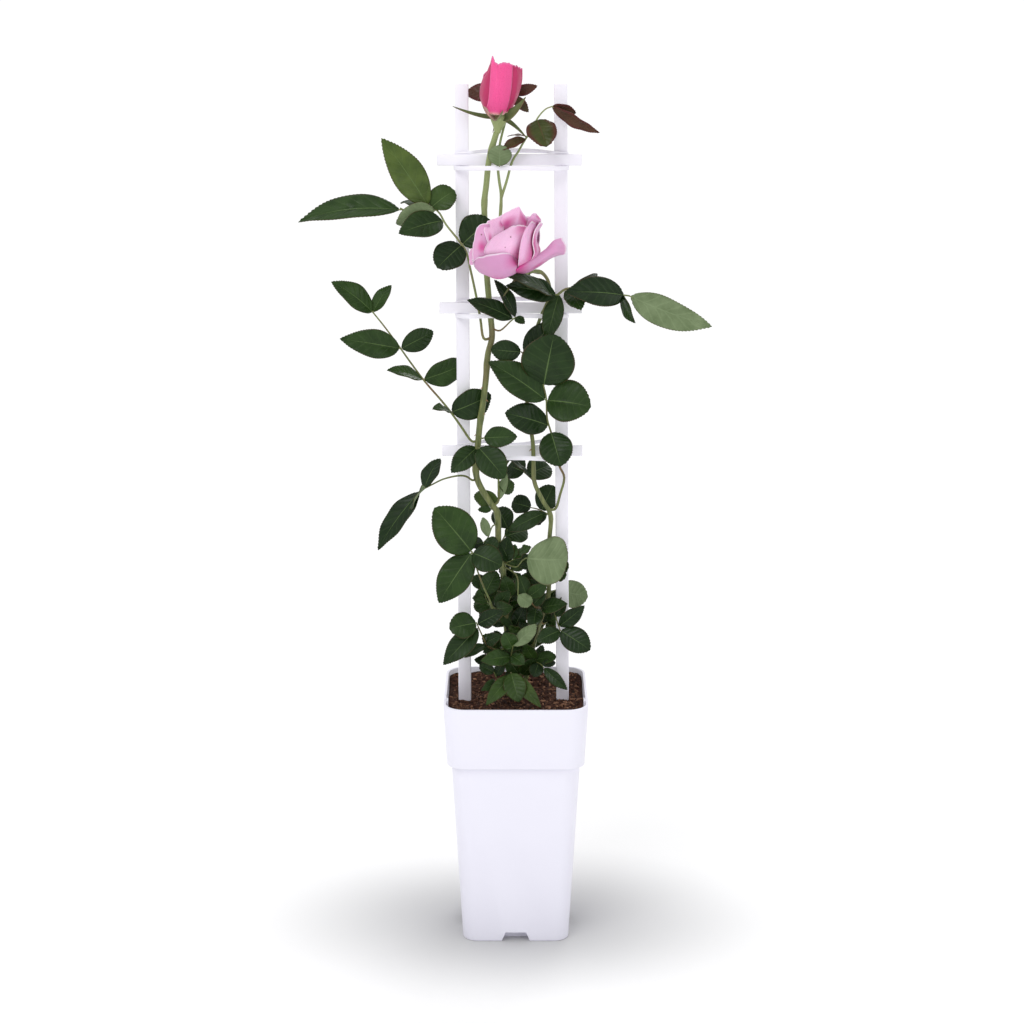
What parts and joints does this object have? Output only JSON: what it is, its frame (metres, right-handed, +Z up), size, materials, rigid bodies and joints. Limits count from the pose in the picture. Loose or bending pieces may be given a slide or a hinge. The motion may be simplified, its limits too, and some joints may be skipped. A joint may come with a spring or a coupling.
{
  "type": "climbing rose on a trellis",
  "caption": "Climbing rose with an open bloom, a bud and compound leaves on a narrow ladder trellis, standing in a tall square pot of soil.",
  "frame": {"origin": "centre of the pot's flat base, on the ground", "axes": "+Z up along the trellis; -Y is the front, where the slats and flowers face; +X to the viewer's right"},
  "size_m": [0.3951, 0.1493, 0.8694],
  "materials": {
    "white_plastic": "smooth white injection-moulded plastic with a faint lilac cast",
    "trellis_white": "white satin plastic",
    "soil_brown": "loose dark potting soil with bark crumbs",
    "stem_green": "smooth light green cane with prickles",
    "leaf_green": "dark green semi-gloss leaf, dull gray-green underneath",
    "young_leaf": "burgundy young leaf with a green middle",
    "orchid_pink": "soft orchid pink petal, deeper between the petals",
    "hot_pink": "velvety hot pink petal with a pale base"
  },
  "bodies": {
    "root": {"bloom_calyx": "stem_green", "bloom_petals": "orchid_pink", "bud_calyx": "stem_green", "bud_petals": "hot_pink", "cane_left": "stem_green", "cane_right": "stem_green", "guide_back_low": "trellis_white", "guide_back_middle": "trellis_white", "guide_back_top": "trellis_white", "guide_front_low": "trellis_white", "guide_front_middle": "trellis_white", "guide_front_top": "trellis_white", "leaf_back_left": "leaf_green", "leaf_back_low": "leaf_green", "leaf_back_middle": "leaf_green", "leaf_back_right": "leaf_green", "leaf_behind_right": "leaf_green", "leaf_centre": "leaf_green", "leaf_centre_upper": "leaf_green", "leaf_crown_left": "leaf_green", "leaf_crown_right": "leaf_green", "leaf_fork": "leaf_green", "leaf_left": "leaf_green", "leaf_low_left": "leaf_green", "leaf_low_middle": "leaf_green", "leaf_low_right": "leaf_green", "leaf_low_rung": "leaf_green", "leaf_low_rung_right": "leaf_green", "leaf_lower_left": "leaf_green", "leaf_mid_rung": "leaf_green", "leaf_node": "leaf_green", "leaf_right": "leaf_green", "leaf_round_left": "leaf_green", "leaf_small_left": "leaf_green", "leaf_small_pale": "leaf_green", "leaf_soil_front": "leaf_green", "leaf_soil_left": "leaf_green", "leaf_soil_right": "leaf_green", "leaf_top_rung": "leaf_green", "leaf_upper_left": "leaf_green", "leaf_young_left": "young_leaf", "leaf_young_right": "young_leaf", "pot": "white_plastic", "shoot_centre": "leaf_green", "shoot_top": "stem_green", "slat_low": "trellis_white", "slat_middle": "trellis_white", "slat_top": "trellis_white", "soil": "soil_brown", "stalk_hanging": "leaf_green", "upright_left": "trellis_white", "upright_right": "trellis_white"}
  },
  "joints": []
}
